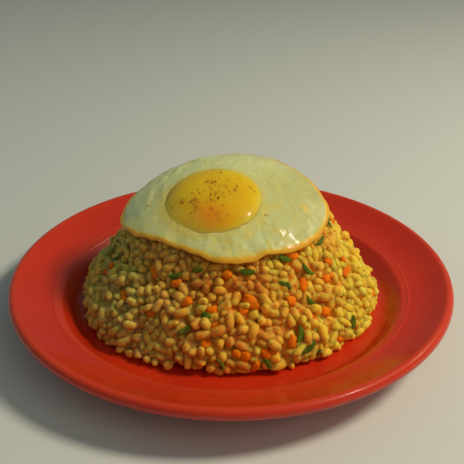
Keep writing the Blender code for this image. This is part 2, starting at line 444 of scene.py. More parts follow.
def closePairs(points, owners, reach):
    # index pairs of points nearer than reach that belong to different rods, found by sorting them into cells
    cells = np.floor(points / reach).astype(np.int64)
    cells -= cells.min(axis=0) - 1
    spans = cells.max(axis=0) + 2
    keys = (cells[:, 0] * spans[1] + cells[:, 1]) * spans[2] + cells[:, 2]
    order = np.argsort(keys, kind="stable")
    keysSorted = keys[order]
    firsts, seconds = [], []
    for step in range(14):              # a cell with itself and with half of its 26 neighbours
        dx, dy, dz = (step + 13) // 9 - 1, (step + 13) // 3 % 3 - 1, (step + 13) % 3 - 1
        target = keys + (dx * spans[1] + dy) * spans[2] + dz
        start = np.searchsorted(keysSorted, target, "left")
        count = np.searchsorted(keysSorted, target, "right") - start
        first = np.repeat(np.arange(len(points)), count)
        inner = np.arange(count.sum()) - np.repeat(np.cumsum(count) - count, count)
        second = order[np.repeat(start, count) + inner]
        keep = owners[first] != owners[second]
        if step == 0:
            keep &= first < second
        firsts.append(first[keep])
        seconds.append(second[keep])
    first, second = np.concatenate(firsts), np.concatenate(seconds)
    near = np.linalg.norm(points[first] - points[second], axis=1) < reach
    return first[near], second[near]


def unit(vectors):
    return vectors / np.maximum(np.linalg.norm(vectors, axis=-1, keepdims=True), 1e-9)


def skinPlanes(skin, points):
    # the nearest place of the heap's skin to each point, and the outward direction there
    places, normals = np.empty_like(points), np.empty_like(points)
    for index, point in enumerate(points):
        places[index], normals[index], _, _ = skin.find_nearest(point)
    return places, normals


def skinSamples(count, rng):
    # random places on the heap's sides and on its crown near the egg's edge, with the outward directions
    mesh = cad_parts["rice_heap"].data
    corners = np.array([[mesh.vertices[i].co / mm for i in face.vertices] for face in mesh.polygons])
    cross = np.cross(corners[:, 1] - corners[:, 0], corners[:, 2] - corners[:, 0])
    middle = corners.mean(axis=1)
    normals = unit(cross)
    # none on the underside, nor on what the egg covers
    hidden = (normals[:, 2] < -0.5) | ((eggShare(middle[:, 0], middle[:, 1]) < 0.80) & (normals[:, 2] > 0.6))
    weight = np.linalg.norm(cross, axis=1) * ~hidden
    chosen = rng.choice(len(weight), count, p=weight / weight.sum())
    u, v = rng.random(count), rng.random(count)
    flip = u + v > 1
    u[flip], v[flip] = 1 - u[flip], 1 - v[flip]
    a, b, c = (corners[chosen, i] for i in range(3))
    return a + u[:, None] * (b - a) + v[:, None] * (c - a), normals[chosen]


def leaning(outward, lean):
    # a direction along the heap's skin, at an angle in degrees to the level
    side = unit(np.cross((0, 0, 1), outward))
    up = np.cross(outward, side)
    return side * math.cos(math.radians(lean)) + up * math.sin(math.radians(lean))


def makeRod(rng, place, outward, length, width, depth, kind, form, proud, slim, axis=None, hold=99.0):
    if axis is None:
        axis = unit(rng.normal(size=3))
    return {"centre": place - outward * depth, "axis": axis, "length": length - width * (1 - slim),
            "width": width * slim, "kind": kind, "form": form, "proud": proud, "hold": hold,
            "shown": (width, width, length)}


def startBits(rng, skin):
    # carrot and green: some at chosen places, and the rest at random
    b = bitsPlacing
    kinds = (("carrot", carrotShape), ("green", greenShape))
    rods = []
    for kind, shape in kinds:
        for angle, height, length, width, lean, *form in shape["placed"]:
            turned = math.radians(angle)
            toward = Vector((math.cos(turned), heapShape["depthShare"] * math.sin(turned), 0)).normalized()
            place, outward, _, _ = skin.ray_cast(Vector((*heapShape["centre"], height)), toward)
            place, outward = np.array(place), np.array(outward)
            depth = width * shape["slim"] * 0.5
            form = form[0] if form else int(rng.integers(shape["forms"]))
            rods.append(makeRod(rng, place, outward, length, width, depth, kind, form, shape["proud"],
                                shape["slim"], leaning(outward, lean), b["placedHold"]))
    for kind, shape in kinds:
        for place, outward in zip(*skinSamples(shape["random"], rng)):
            length, width = rng.uniform(*shape["length"]), rng.uniform(*shape["width"])
            form = int(rng.integers(shape["forms"]))
            along, proud = leaning(outward, rng.uniform(0, 180)), shape["proud"] - b["looseSunk"]
            rods.append(makeRod(rng, place, outward, length, width, b["looseDepth"], kind, form, proud,
                                shape["slim"], along, b["looseHold"]))
    return rods


def startGrains(rng):
    r = riceShape
    rods = []
    for place, outward in zip(*skinSamples(r["grains"], rng)):
        length = rng.uniform(*r["length"])
        if rng.random() < r["brokenShare"]:
            length *= r["brokenLength"]
        proud = rng.uniform(*(r["proud"] if rng.random() < r["proudShare"] else r["level"]))
        proud += r["lumps"] * noise.noise(Vector(place) / r["lumpSize"])
        if eggShare(place[0], place[1]) < r["underEgg"]:
            proud = min(proud, r["pressedFront"] if place[1] < r["frontFrom"] else r["pressedBack"])
        if place[2] < r["lowHeight"]:
            proud = min(proud, r["lowProud"])
        if proud > r["proud"][0]:
            depth = r["topDepth"]
        else:
            depth = r["innerDepth"] + rng.random() * (r["shell"] - 2 * r["innerDepth"])
        width, form = rng.uniform(*r["width"]), int(rng.integers(4))
        rods.append(makeRod(rng, place, outward, length, width, depth, "grain", form, proud, r["press"]))
    return rods


def startFoot(rng):
    # loose grains that lie round the foot of the heap, on the plate
    r, h = riceShape, heapShape
    rods = []
    for _ in range(r["footGrains"]):
        angle = rng.uniform(0, fullTurn)
        out = rng.uniform(*r["footOut"]) + r["footWiden"] * math.cos(angle) ** 2
        place = np.array((h["centre"][0] + out * math.cos(angle),
                          h["centre"][1] + h["depthShare"] * out * math.sin(angle),
                          h["wellFloor"] + r["footHeight"]))
        flat = unit(np.array((*rng.normal(size=2), r["footTilt"] * rng.normal())))
        length, width = rng.uniform(*r["length"]), rng.uniform(*r["width"])
        form = int(rng.integers(4))
        outward = np.array((math.cos(angle), math.sin(angle), 0.0))
        rods.append(makeRod(rng, place, outward, length, width, 0.0, "grain", form, r["footProud"],
                            r["press"], flat))
    return rods


def settleRods(rods, skin):
    s = settling
    parts = ("centre", "axis", "length", "width", "proud", "hold")
    centre, axis, length, width, proud, hold = (np.array([rod[part] for rod in rods]) for part in parts)
    spacing = np.maximum(length / 2 - width * s["ballSpacing"], 0.05)
    radius = (width[:, None] / 2 * np.array(s["ballSizes"])).ravel()
    owners = np.repeat(np.arange(len(rods)), 3)
    tips = np.array((-1.0, 0.0, 1.0))
    for step in range(s["steps"]):
        balls = (centre[:, None] + axis[:, None] * (spacing[:, None] * tips)[..., None]).reshape(-1, 3)
        if step % s["searchEvery"] == 0:
            first, second = closePairs(balls, owners, s["searchReach"])
        if step % s["skinEvery"] == 0:
            places, normals = skinPlanes(skin, balls)
        gap = balls[second] - balls[first]
        far = np.linalg.norm(gap, axis=1)
        overlap = radius[first] + radius[second] - far
        touch = overlap > 0
        push = gap[touch] / np.maximum(far[touch], 1e-6)[:, None] * (s["push"] * overlap[touch])[:, None]
        moved = np.zeros_like(balls)
        for dimension in range(3):
            moved[:, dimension] += np.bincount(second[touch], push[:, dimension], len(balls))
            moved[:, dimension] -= np.bincount(first[touch], push[:, dimension], len(balls))
        balls = balls + np.clip(moved, -s["longestMove"], s["longestMove"])
        # grains keep inside the heap's skin, each by its own allowance, and outside the core
        depth = -((balls - places) * normals).sum(axis=1)
        shallow = np.maximum(radius - np.repeat(proud, 3) - depth, 0)
        deep = np.maximum(depth - (riceShape["shell"] - radius * s["shellOverlap"]), 0)
        held = np.maximum(depth - radius - np.repeat(hold, 3), 0)
        balls += normals * ((held + deep) * s["shellPull"] - shallow * s["skinPull"])[:, None]
        # the plate below, and the egg above
        balls[:, 2] = np.maximum(balls[:, 2], heapShape["wellFloor"] + radius)
        past = np.maximum(eggShare(balls[:, 0], balls[:, 1]) - s["eggEnd"], 0)
        lid = eggUnder(balls[:, 0], balls[:, 1]) - radius - s["eggGap"] + past * s["eggEndRise"]
        balls[:, 2] = np.minimum(balls[:, 2], lid)
        # the plate's rising side
        out = np.hypot(balls[:, 0], balls[:, 1])
        pull = np.where(out > heapShape["wellRadius"], heapShape["wellRadius"] / np.maximum(out, 1), 1)
        balls[:, :2] *= pull[:, None]
        balls = balls.reshape(-1, 3, 3)
        centre = balls.mean(axis=1)
        axis = unit(balls[:, 2] - balls[:, 0])
    return centre, axis


def rodTurns(centre, axis, kinds, skin, rng):
    # Euler turns that lay a form's Z along each rod, with grains rolled at random and slices flat on the heap
    turns = []
    for place, direction, kind in zip(centre, axis, kinds):
        along = Vector(direction)
        if kind == "grain":
            roll = Matrix.Rotation(rng.uniform(0, fullTurn), 3, "Z")
            turns.append((Vector((0, 0, 1)).rotation_difference(along).to_matrix() @ roll).to_euler())
        else:
            out = skin.find_nearest(place)[1]
            across = out.cross(along).normalized()
            face = along.cross(across)
            turns.append(Matrix((across, face, along)).transposed().to_euler())
    return np.array(turns)


def layRice():
    rng = np.random.default_rng(riceShape["seed"])
    skin = nodeSkin("rice_heap")
    rods = startBits(rng, skin)
    rods += startGrains(rng)
    rods += startFoot(rng)
    centre, axis = settleRods(rods, skin)
    kinds = np.array([rod["kind"] for rod in rods])
    return {
        "centre": centre, "axis": axis, "kinds": kinds, "turns": rodTurns(centre, axis, kinds, skin, rng),
        "forms": np.array([rod["form"] for rod in rods]),
        "sizes": np.array([rod["shown"] for rod in rods]) / 2,
        "outward": np.array([skin.find_nearest(place)[1] for place in centre])}


laid = layRice()
print("rice: laid", len(laid["centre"]), "grains and bits")


# Geometry Nodes that put one small form at every laid place

def newTree(name, **inputs):
    # a tree with the inputs that all of these have, and its own
    tree = bpy.data.node_groups.new(name, "GeometryNodeTree")
    tree.interface.new_socket("Geometry", in_out="INPUT", socket_type="NodeSocketGeometry")
    for label, value in inputs.items():
        socket = tree.interface.new_socket(
            label.replace("_", " "), in_out="INPUT", socket_type="NodeSocketFloat")
        socket.default_value = value
    tree.interface.new_socket("Lumps", in_out="INPUT", socket_type="NodeSocketFloat")
    tree.interface.new_socket("Seed", in_out="INPUT", socket_type="NodeSocketInt")
    tree.interface.new_socket("Material", in_out="INPUT", socket_type="NodeSocketMaterial")
    tree.interface.new_socket("Geometry", in_out="OUTPUT", socket_type="NodeSocketGeometry")
    return tree, tree.nodes.new("NodeGroupInput"), tree.nodes.new("NodeGroupOutput")


def readNamed(tree, name, kind):
    node = addNode(tree, "GeometryNodeInputNamedAttribute", {"Name": name}, data_type=kind)
    return node.outputs["Attribute"]


def readPosition(tree):
    return tree.nodes.new("GeometryNodeInputPosition").outputs[0]


def positionParts(tree):
    return addNode(tree, "ShaderNodeSeparateXYZ", {0: readPosition(tree)}).outputs


def moveTo(tree, geometry, x, y, z):
    place = addNode(tree, "ShaderNodeCombineXYZ", {"X": x, "Y": y, "Z": z}).outputs[0]
    return addNode(tree, "GeometryNodeSetPosition", {"Geometry": geometry, "Position": place}).outputs[0]


def addLumps(tree, geometry, amount):
    # pushes the surface in and out by a soft noise, so that no two pieces are alike
    normal = tree.nodes.new("GeometryNodeInputNormal").outputs[0]
    cloud = addMath(tree, "SUBTRACT", addNoise(tree, readPosition(tree), 420, 1), 0.5)
    push = addVector(tree, "SCALE", {0: normal, "Scale": multiply(tree, cloud, amount)})
    return addNode(tree, "GeometryNodeSetPosition", {"Geometry": geometry, "Offset": push}).outputs[0]


def finishTree(tree, source, end, forms):
    # one of the forms at each point, turned and sized by the point's own attributes
    joined = tree.nodes.new("GeometryNodeGeometryToInstance")
    for form in reversed(forms):
        tree.links.new(form, joined.inputs[0])
    turnNode = addNode(tree, "FunctionNodeEulerToRotation", {0: readNamed(tree, "turn", "FLOAT_VECTOR")})
    spread = addNode(tree, "GeometryNodeInstanceOnPoints", {
        "Points": source.outputs["Geometry"], "Instance": joined.outputs[0], "Pick Instance": True,
        "Instance Index": readNamed(tree, "form", "INT"), "Rotation": turnNode.outputs[0],
        "Scale": readNamed(tree, "size", "FLOAT_VECTOR")})
    shade = addNode(tree, "FunctionNodeRandomValue", {"Seed": source.outputs["Seed"]}, data_type="FLOAT")
    stored = addNode(tree, "GeometryNodeStoreNamedAttribute", {
        "Geometry": spread.outputs[0], "Name": "shade"}, data_type="FLOAT", domain="INSTANCE")
    tree.links.new([s for s in shade.outputs if s.type == "VALUE"][0], stored.inputs["Value"])
    real = addNode(tree, "GeometryNodeRealizeInstances", {"Geometry": stored.outputs[0]})
    lumpy = addLumps(tree, real.outputs[0], source.outputs["Lumps"])
    smooth = addNode(tree, "GeometryNodeSetShadeSmooth", {"Geometry": lumpy})
    painted = addNode(tree, "GeometryNodeSetMaterial", {
        "Geometry": smooth.outputs[0], "Material": source.outputs["Material"]})
    tree.links.new(painted.outputs[0], end.inputs[0])


def scatter(name, tree, places, turns, sizes, forms, slot, values):
    # runs a tree on a cloud of points and keeps the result as one plain mesh
    cloud = bpy.data.meshes.new(name + "Points")
    cloud.from_pydata((places * mm).tolist(), [], [])
    addAttribute(cloud, "turn", turns, "FLOAT_VECTOR")
    addAttribute(cloud, "size", sizes * mm, "FLOAT_VECTOR")
    addAttribute(cloud, "form", forms, "INT")
    holder = bpy.data.objects.new(name + "Points", cloud)
    scene.collection.objects.link(holder)
    modifier = holder.modifiers.new("scatter", "NODES")
    modifier.node_group = tree
    for item in tree.interface.items_tree:
        if item.in_out == "INPUT" and item.name in values:
            modifier[item.identifier] = values[item.name]
    graph = bpy.context.evaluated_depsgraph_get()
    mesh = bpy.data.meshes.new_from_object(
        holder.evaluated_get(graph), preserve_all_data_layers=True, depsgraph=graph)
    mesh.name = name
    bpy.data.objects.remove(holder)
    print(name + ":", len(places), "pieces,", countTriangles(mesh), "triangles")
    return addPiece(mesh, slot)


def scatterLaid(name, tree, chosen, grown, slot, values):
    # a tree on the chosen ones of the laid grains and bits, a little larger than they were packed
    return scatter(name, tree, laid["centre"][chosen], laid["turns"][chosen], laid["sizes"][chosen] * grown,
                   laid["forms"][chosen], slot, values)


# grains

grainLook = {
    "orange": (0.82, 0.40, 0.036), "gold": (0.82, 0.46, 0.042), "straw": (0.82, 0.50, 0.052),
    # the last colour here is painted shade, darker and greener, laid over the left side of the heap
    "cream": (0.84, 0.56, 0.085), "stain": (0.84, 0.24, 0.027), "paintedShadeColour": (0.40, 0.345, 0.095),
    "roughness": (0.40, 0.58), "paleShare": 0.15,
    "grown": (1.06, 1.06, 0.98),        # packed grains touch, and swell a little into each other
    "bend": 0.35, "tips": 0.64, "flat": 0.88, "lumps": 0.0013,
    # four shapes of grain: bend, tips, taper
    "forms": ((0.25, 1.0, 0.05), (0.6, 0.9, -0.08), (1.1, 1.05, 0.1), (-0.15, 0.8, 0.14)),
}

# the last value is how strongly painted shade darkens the left side of the heap
stainShape = {"middle": 0.006, "halfWidth": 0.064, "most": 0.80, "fall": 0.85, "patch": 0.42, "paintedShadeLeft": 0.72}


def addStain(tree, place, colour, look, more):
    # spice and oil have coloured the rice in patches wider than a grain; the orange is also strongest in the
    # middle of the heap and fades toward its sides
    s = stainShape
    across = addNode(tree, "ShaderNodeSeparateXYZ", {0: place}).outputs["X"]
    off = addMath(tree, "DIVIDE", add(tree, across, s["middle"]), s["halfWidth"])
    side = addMath(tree, "SUBTRACT", s["most"], multiply(tree, off, off, s["fall"]))
    patch = addRange(tree, addNoise(tree, place, 75, 2), 0.38, 0.64, -s["patch"], s["patch"])
    amount = addMath(tree, "MAXIMUM", add(tree, side, patch, more), 0.0)
    # toward the heap's left side the rice is painted darker and greener, as painted shade
    paintedShadeLeft = addRange(tree, across, -0.006, -0.056, 0, s["paintedShadeLeft"])
    return addMix(tree, paintedShadeLeft, addMix(tree, amount, colour, look["stain"]), look["paintedShadeColour"])


def startRice(name):
    material, tree, shader = startMaterial(
        name, Subsurface_Weight=1.0, Subsurface_Radius=(6.5, 4.2, 1.4), Subsurface_Scale=mm, IOR=1.36,
        Specular_IOR_Level=0.16)
    return material, tree, shader, objectPlace(tree)


def riceMaterial(name, look, *stops):
    material, tree, shader, place = startRice(name)
    colour = addRamp(tree, readAttribute(tree, "shade"), [(share, look[tone]) for share, tone in stops])
    # sauce has run down between the grains and stained their undersides more orange; the paler tops and
    # darker undersides are also painted light and painted shade
    sauceAndShade = addRange(tree, readAttribute(tree, "top"), 0.9, -0.1, -0.02, 0.16)
    colour = addStain(tree, place, colour, look, sauceAndShade)
    paint(tree, shader, addPatches(tree, place, 330, (0.35, 0.70, 0, 0.24), colour, look["cream"]))
    addSheen(tree, shader, place, 260, *look["roughness"])
    addBump(tree, shader, addNoise(tree, place, 620), 0.0005, 0.6)
    return material


def markTops(mesh, centre, outward, half):
    # how far each point of a grain is toward the outside of the heap, from 1 on its top to -1 underneath
    points = np.empty(len(mesh.vertices) * 3, np.float32)
    mesh.vertices.foreach_get("co", points)
    offset = points.reshape(len(centre), -1, 3) / mm - centre[:, None]
    addAttribute(mesh, "top", (offset * outward[:, None]).sum(axis=2) / half[:, None])


def addCurve(tree, z, amount, bend, level):
    # sideways shift that bends a form along its length
    bow = addMath(tree, "SUBTRACT", multiply(tree, z, z), level)
    return multiply(tree, amount, bend, bow)


def grainForm(tree, source, bend, tips, taper):
    ball = addNode(tree, "GeometryNodeMeshUVSphere", {"Segments": 8, "Rings": 7})
    x, y, z = positionParts(tree)
    ballWidth = addMath(tree, "SUBTRACT", 1, multiply(tree, z, z))
    ballWidth = addMath(tree, "SQRT", addMath(tree, "MAXIMUM", ballWidth, 0.001))
    power = addMath(tree, "SUBTRACT", multiply(tree, source.outputs["Tip fullness"], tips), 1)
    swell = addMath(tree, "POWER", ballWidth, power)
    swell = multiply(tree, swell, addMath(tree, "SUBTRACT", 1, multiply(tree, z, taper)))
    newX = add(tree, multiply(tree, x, swell), addCurve(tree, z, source.outputs["Bend"], bend, 0.35))
    newY = multiply(tree, y, swell, source.outputs["Flatness"])
    return moveTo(tree, ball.outputs["Mesh"], newX, newY, z)


def grainTree(look):
    tree, source, end = newTree("riceGrains", Bend=0.5, Tip_fullness=0.72, Flatness=0.9)
    finishTree(tree, source, end, [grainForm(tree, source, *form) for form in look["forms"]])
    return tree


def buildGrains(look):
    grain = laid["kinds"] == "grain"
    pale = np.random.default_rng(riceShape["seed"] + 1).random(len(grain)) < look["paleShare"]
    tree = grainTree(look)
    golden = riceMaterial("goldenRice", look, (0.0, "orange"), (0.35, "gold"), (0.75, "straw"), (1.0, "gold"))
    cream = riceMaterial("paleRice", look, (0.0, "straw"), (0.5, "cream"), (1.0, "gold"))
    for name, chosen, material, seed in (
            ("goldenGrains", grain & ~pale, golden, 3), ("paleGrains", grain & pale, cream, 4)):
        piece = scatterLaid(name, tree, chosen, look["grown"], "fried_rice", {
            "Bend": look["bend"], "Tip fullness": look["tips"], "Flatness": look["flat"],
            "Lumps": look["lumps"], "Seed": seed, "Material": material})
        markTops(piece.data, laid["centre"][chosen], laid["outward"][chosen], laid["sizes"][chosen, 0])


buildGrains(grainLook)


# the core of the heap: soft rice that fills the gaps between the whole grains and clings to their sides

coreLook = {
    "sides": 520, "rings": 140, "middleHeight": 12.0,
    "cling": 0.32,                      # how far the filling climbs up between two grains
    "slim": 0.78,                       # grains count as this slim, so they stand out of it
    "deepest": 4.4, "highest": 3.5, "neighbours": 10, "steps": 14,
    "footGap": 6.5,                     # how far the filling stays back from the loose grains at the foot
    "floorGap": 0.5, "eggGap": 0.4,
    # the filling is painted darker and more orange where it lies deeper between the grains, as painted shade
    "dark": (0.84, 0.36, 0.030), "light": (0.84, 0.43, 0.038), "stain": 0.10, "roughness": (0.45, 0.65),
}


def coreMaterial(look):
    material, tree, shader, place = startRice("packedRice")
    # painted shade: deeper parts of the filling take the darker colour
    colour = addMix(tree, readAttribute(tree, "gap"), look["light"], look["dark"])
    paint(tree, shader, addStain(tree, place, colour, grainLook, look["stain"]))
    addSheen(tree, shader, place, 300, *look["roughness"])
    addBump(tree, shader, addNoise(tree, place, 900), 0.0003, 0.5)
    return material


def coreRays(look):
    # directions from the heap's middle, ring by ring from the foot to the crown
    angles = around(look["sides"])
    rises = np.radians(np.linspace(-4, 89, look["rings"]))
    return np.stack([np.outer(np.cos(rises), np.cos(angles)), np.outer(np.cos(rises), np.sin(angles)),
                     np.repeat(np.sin(rises)[:, None], look["sides"], axis=1)], axis=2).reshape(-1, 3)


def buildCore(look):
    grain = laid["kinds"] == "grain"
    centre, axis, sizes = laid["centre"][grain], laid["axis"][grain], laid["sizes"][grain]
    radii = sizes[:, 0] * look["slim"]
    reach = axis * (sizes[:, 2] - radii)[:, None]
    starts, spans = centre - reach, 2 * reach
    index = KDTree(len(starts))
    for number, place in enumerate(centre):
        index.insert(place, number)
    index.balance()
    skin = nodeSkin("rice_heap")
    middle = np.array((*heapShape["centre"], look["middleHeight"]))
    rays = coreRays(look)
    surface = np.empty(len(rays))
    near = np.empty((len(rays), look["neighbours"]), int)
    for number, ray in enumerate(rays):
        place, _, _, far = skin.ray_cast(Vector(middle), Vector(ray))
        surface[number] = far
        near[number] = [found[1] for found in index.find_n(place - Vector(ray) * 2, look["neighbours"])]
    near = np.sort(near, axis=1)
    # each point walks in until it meets the grains, which pull the surface up between them
    far = surface + look["highest"]
    for _ in range(look["steps"]):
        gap = (middle + rays * far[:, None])[:, None] - starts[near]
        along = np.clip((gap * spans[near]).sum(axis=2) / (spans[near] ** 2).sum(axis=2), 0, 1)
        apart = np.linalg.norm(gap - along[..., None] * spans[near], axis=2) - radii[near]
        clear = -look["cling"] * np.log(np.exp(-apart / look["cling"]).sum(axis=1))
        far = np.maximum(far - np.maximum(clear, 0) * 0.9, surface - look["deepest"])
    low = ease(14, 8, middle[2] + rays[:, 2] * surface)
    far = np.minimum(far, surface + look["highest"] - low * look["footGap"])
    points = middle + rays * far[:, None]
    bottom = heapShape["wellFloor"] + look["floorGap"]
    points[:, 2] = np.maximum(points[:, 2], bottom)
    pastEgg = np.maximum(eggShare(points[:, 0], points[:, 1]) - 1, 0)
    lid = eggUnder(points[:, 0], points[:, 1]) - look["eggGap"] + pastEgg * settling["eggEndRise"]
    points[:, 2] = np.minimum(points[:, 2], lid)
    top = points[-look["sides"]:].mean(axis=0)
    rings = points.reshape(look["rings"], look["sides"], 3)
    points, faces = closedRings(rings, (*heapShape["centre"], bottom), top)
    mesh = makeMesh("riceCore", points, faces, coreMaterial(look))
    # how deep the filling lies under the skin, which paints the deeper parts darker as painted shade
    gaps = np.clip((surface - far) / look["highest"], 0, 1)
    addAttribute(mesh, "gap", np.concatenate([[0], gaps, [0]]))
    addPiece(mesh, "fried_rice", "rice_heap")
    print("riceCore:", countTriangles(mesh), "triangles")


buildCore(coreLook)


# carrot and green slices

carrotLook = {
    "bright": (0.74, 0.19, 0.004), "deep": (0.70, 0.12, 0.003), "pale": (0.80, 0.26, 0.012),
    "grown": (1.1, 0.75, 1.1), "roundness": 0.85, "unevenness": 1.3, "lumps": 0.0012,
}

greenLook = {
    "bright": (0.110, 0.150, 0.008), "deep": (0.050, 0.085, 0.006), "pale": (0.24, 0.28, 0.025),
    "grown": (1.1, 1.1, 1.05), "bow": 1.0, "thickness": 0.36, "lumps": 0.0005,
    "forms": ((1.0, 1.0), (0.25, 0.8)),        # bend and thickness: crescent, oval slice
}


def carrotMaterial(look):
    material, tree, shader = startMaterial(
        "softCarrot", Subsurface_Weight=0.8, Subsurface_Radius=(2.6, 0.9, 0.2), Subsurface_Scale=mm, IOR=1.36,
        Specular_IOR_Level=0.1)
    place = objectPlace(tree)
    colour = addPatches(tree, place, 330, (0.35, 0.65), look["deep"], look["bright"])
    paleShare = multiply(tree, readAttribute(tree, "shade"), 0.35)
    paint(tree, shader, addMix(tree, paleShare, colour, look["pale"]))
    addSheen(tree, shader, place, 260, 0.28, 0.45)
    addBump(tree, shader, addNoise(tree, place, 700), 0.0004, 0.5)
    return material


def greenMaterial(look):
    material, tree, shader = startMaterial(
        "greenSlice", Subsurface_Weight=0.3, Subsurface_Radius=(0.5, 1.0, 0.3), Subsurface_Scale=mm, IOR=1.36,
        Specular_IOR_Level=0.2)
    place = objectPlace(tree)
    colour = addPatches(tree, place, 280, (0.35, 0.65), look["deep"], look["bright"])
    paleShare = addRange(tree, readAttribute(tree, "shade"), 0.55, 1.0, 0, 0.6)
    paint(tree, shader, addMix(tree, paleShare, colour, look["pale"]))
    addSheen(tree, shader, place, 240, 0.25, 0.45)
    addBump(tree, shader, addNoise(tree, place, 800), 0.0003, 0.5)
    return material


def carrotForm(tree, source, offset):
    # a soft-cornered chip; sockets 4 and 5 of a Mix node take its two vectors
    block = addNode(tree, "GeometryNodeMeshCube", {
        "Size": (2, 2, 2), "Vertices X": 4, "Vertices Y": 4, "Vertices Z": 4})
    place = readPosition(tree)
    rounded = addVector(tree, "NORMALIZE", {0: place})
    soft = addNode(tree, "ShaderNodeMix", {0: source.outputs["Roundness"]}, data_type="VECTOR")
    tree.links.new(place, soft.inputs[4])
    tree.links.new(rounded, soft.inputs[5])
    moved = addVector(tree, "ADD", {0: place, 1: (offset, offset * 2, 0)})
    cloud = addNode(tree, "ShaderNodeTexNoise", {"Vector": moved, "Scale": 0.9, "Detail": 1.0})
    bent = addVector(tree, "SUBTRACT", {0: cloud.outputs["Color"], 1: (0.5, 0.5, 0.5)})
    bent = addVector(tree, "SCALE", {0: bent, "Scale": source.outputs["Unevenness"]})
    place = addVector(tree, "ADD", {0: soft.outputs[1], 1: bent})
    return addNode(tree, "GeometryNodeSetPosition", {
        "Geometry": block.outputs["Mesh"], "Position": place}).outputs[0]


def carrotTree():
    tree, source, end = newTree("carrotChips", Roundness=0.6, Unevenness=0.9)
    finishTree(tree, source, end, [carrotForm(tree, source, offset) for offset in (0.0, 3.1, 7.7)])
    return tree


def greenForm(tree, source, bend, thickness):
    # a flat slice with pointed ends, bowed along its length
    ball = addNode(tree, "GeometryNodeMeshUVSphere", {"Segments": 8, "Rings": 8})
    x, y, z = positionParts(tree)
    newX = add(tree, x, addCurve(tree, z, source.outputs["Bow"], bend, 0.4))
    newY = multiply(tree, source.outputs["Thickness"], thickness, y)
    return moveTo(tree, ball.outputs["Mesh"], newX, newY, z)


def greenTree(look):
    tree, source, end = newTree("greenSlices", Bow=1.0, Thickness=0.5)
    finishTree(tree, source, end, [greenForm(tree, source, *form) for form in look["forms"]])
    return tree


def buildBits(carrot, green):
    scatterLaid("carrotChips", carrotTree(), laid["kinds"] == "carrot", carrot["grown"], "carrot", {
        "Roundness": carrot["roundness"], "Unevenness": carrot["unevenness"], "Lumps": carrot["lumps"],
        "Seed": 5, "Material": carrotMaterial(carrot)})
    scatterLaid("greenSlices", greenTree(green), laid["kinds"] == "green", green["grown"], "green_slices", {
        "Bow": green["bow"], "Thickness": green["thickness"], "Lumps": green["lumps"],
        "Seed": 6, "Material": greenMaterial(green)})


buildBits(carrotLook, greenLook)


# the egg white

whiteLook = {
    "sides": 300, "rings": 80,
    # three of these colours are painted: a grey-green partly for shade on the thin left edge, a darker cream
    # as painted shade on the right side, and a paler cream as painted light at the back
    "white": (0.595, 0.60, 0.285), "cream": (0.60, 0.55, 0.20), "thin": (0.47, 0.56, 0.39),
    "oil": (0.72, 0.57, 0.12), "shadedRight": (0.46, 0.44, 0.17), "pale": (0.70, 0.70, 0.34),
    "yellow": (0.70, 0.50, 0.075), "gold": (0.76, 0.42, 0.032), "brown": (0.76, 0.37, 0.020),
    "collar": 0.3, "collarWidth": 3.6,         # the white stands a little higher round the yolk
    # long folds, in millimetres from the egg's centre: start, end, width, height
    "folds": (
        ((-19, 31), (-26, 21), 1.4, 0.9), ((-23, 29), (-29, 15), 1.2, -0.8),
        ((-28, 18), (-29.5, 4), 1.6, 0.6), ((-31, 12), (-33, 1), 2.0, -0.4),
        ((-36, 10), (-38, -2), 2.2, 0.6), ((-14, 33), (-4, 35), 1.6, 0.5),
        ((-6, -27), (-7, -32), 1.5, 1.0), ((4, -28), (8, -31.5), 1.6, 0.9),
        ((-2, -29), (0, -33), 1.2, -0.9), ((12, -27), (15, -31), 1.4, 0.7),
        ((20, -22), (30, -19), 2.4, 0.7), ((26, -25), (33, -22), 1.6, -0.6), ((33, 8), (41, 0), 3.0, 0.5)),
    "foldWidth": 1.15, "foldHeight": 0.45,
    # round blisters at the front that catch the light: x, y, width, height
    "blisters": ((26.6, -22.9, 3.4, 1.0), (31.6, -21.0, 2.2, 0.45), (22.6, -24.6, 1.6, 0.3)),
    # short puckers in the margin, as shares of the reach and as widths and heights, higher at the front
    "puckers": 46, "puckerFrom": (0.74, 0.88), "puckerTo": (0.90, 0.97), "puckerSwing": 0.05,
    "puckerWidth": (0.9, 1.7), "puckerLowest": 0.08, "puckerBack": 0.18, "puckerFront": 0.2,
    "yolkClear": 1.22,                  # no pucker starts nearer the yolk than this share of its radius
    # small bubbles from the hot oil, most of them at the front right
    "bubbles": 240, "bubbleSide": (-0.75, 1.1), "bubbleOut": (0.45, 0.96), "bubbleWidth": (0.45, 1.2),
    "bubbleHeight": (0.06, 0.2),
    "edgeRings": (0.02, 0.0155, 0.0112, 0.0074, 0.0044, 0.002, 0.0005),        # shares in from the outline
    "yolkSpot": (39.1, -6.4, 2.0),      # a spot of yolk in the white: x, y, width
}


def fold(x, y, start, end, width, height):
    # a soft fold along a line, in millimetres from the egg's centre
    ax, ay = start
    dx, dy = end[0] - ax, end[1] - ay
    along = np.clip(((x - ax) * dx + (y - ay) * dy) / (dx * dx + dy * dy), 0, 1)
    far = np.hypot(x - ax - along * dx, y - ay - along * dy)
    return height * bell(far, width)


